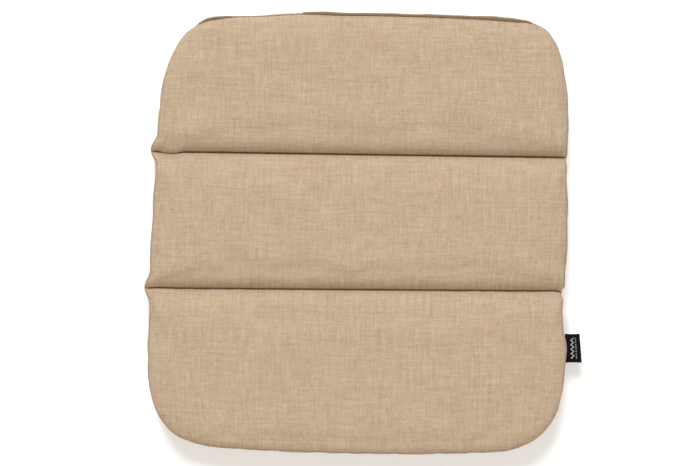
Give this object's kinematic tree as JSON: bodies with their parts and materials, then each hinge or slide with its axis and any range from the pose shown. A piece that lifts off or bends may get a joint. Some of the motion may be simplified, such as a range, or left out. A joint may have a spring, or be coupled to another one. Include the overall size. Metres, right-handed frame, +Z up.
{
  "type": "chair seat pad",
  "caption": "Boxed foam seat pad in a beige melange cover, sewn through between its sections so that they fold, with a small woven label in the side seam.",
  "frame": {"origin": "middle of the flat underside of the middle section, on the plane that the pad rests on", "axes": "+X to the right, +Y towards the rear edge, +Z up out of the seat; the front edge and its broad corners lie at -Y"},
  "size_m": [0.4992, 0.5106, 0.045],
  "materials": {
    "cover_cloth": "beige and brown melange plain weave",
    "band_cloth": "the same weave, on the side band",
    "seam_cloth": "the same weave, doubled and pressed in the seams",
    "foam": "open-cell upholstery foam, pale cream",
    "fibre": "bonded polyester wadding, white",
    "thread": "twisted sewing thread",
    "label": "black damask woven ribbon with a pale woven motif"
  },
  "bodies": {
    "middle": {"top_panel_middle": "cover_cloth", "bottom_panel_middle": "cover_cloth", "side_band_middle_left": "band_cloth", "side_band_middle_right": "band_cloth", "fibre_wrap_middle": "fibre", "foam_middle": "foam", "fold_seam_rear": "seam_cloth", "fold_seam_front": "seam_cloth", "fold_stitch_rear": "thread", "fold_stitch_front": "thread"},
    "rear": {"top_panel_rear": "cover_cloth", "bottom_panel_rear": "cover_cloth", "side_band_rear_left": "band_cloth", "side_band_rear_right": "band_cloth", "back_band": "band_cloth", "fibre_wrap_rear": "fibre", "foam_rear": "foam", "closing_lip": "seam_cloth", "closing_stitch": "thread"},
    "front": {"top_panel_front": "cover_cloth", "bottom_panel_front": "cover_cloth", "front_band": "band_cloth", "fibre_wrap_front": "fibre", "foam_front": "foam"},
    "label": {"woven_label": "label"}
  },
  "joints": [
    {"name": "rear_fold", "type": "hinge", "parent": "middle", "child": "rear", "pos_m": [0, 0.09, 0.0225], "axis": [0.9999, -0.0148, 0], "range_deg": [-90, 90]},
    {"name": "front_fold", "type": "hinge", "parent": "middle", "child": "front", "pos_m": [0, -0.065, 0.0225], "axis": [-1, 0.0077, 0], "range_deg": [-90, 90]},
    {"name": "label_flap", "type": "hinge", "parent": "front", "child": "label", "pos_m": [0.2377, -0.13265, 0.0225], "axis": [0, -1, 0], "range_deg": [-75, 75], "stiffness_Nm_per_rad": 0.001}
  ]
}
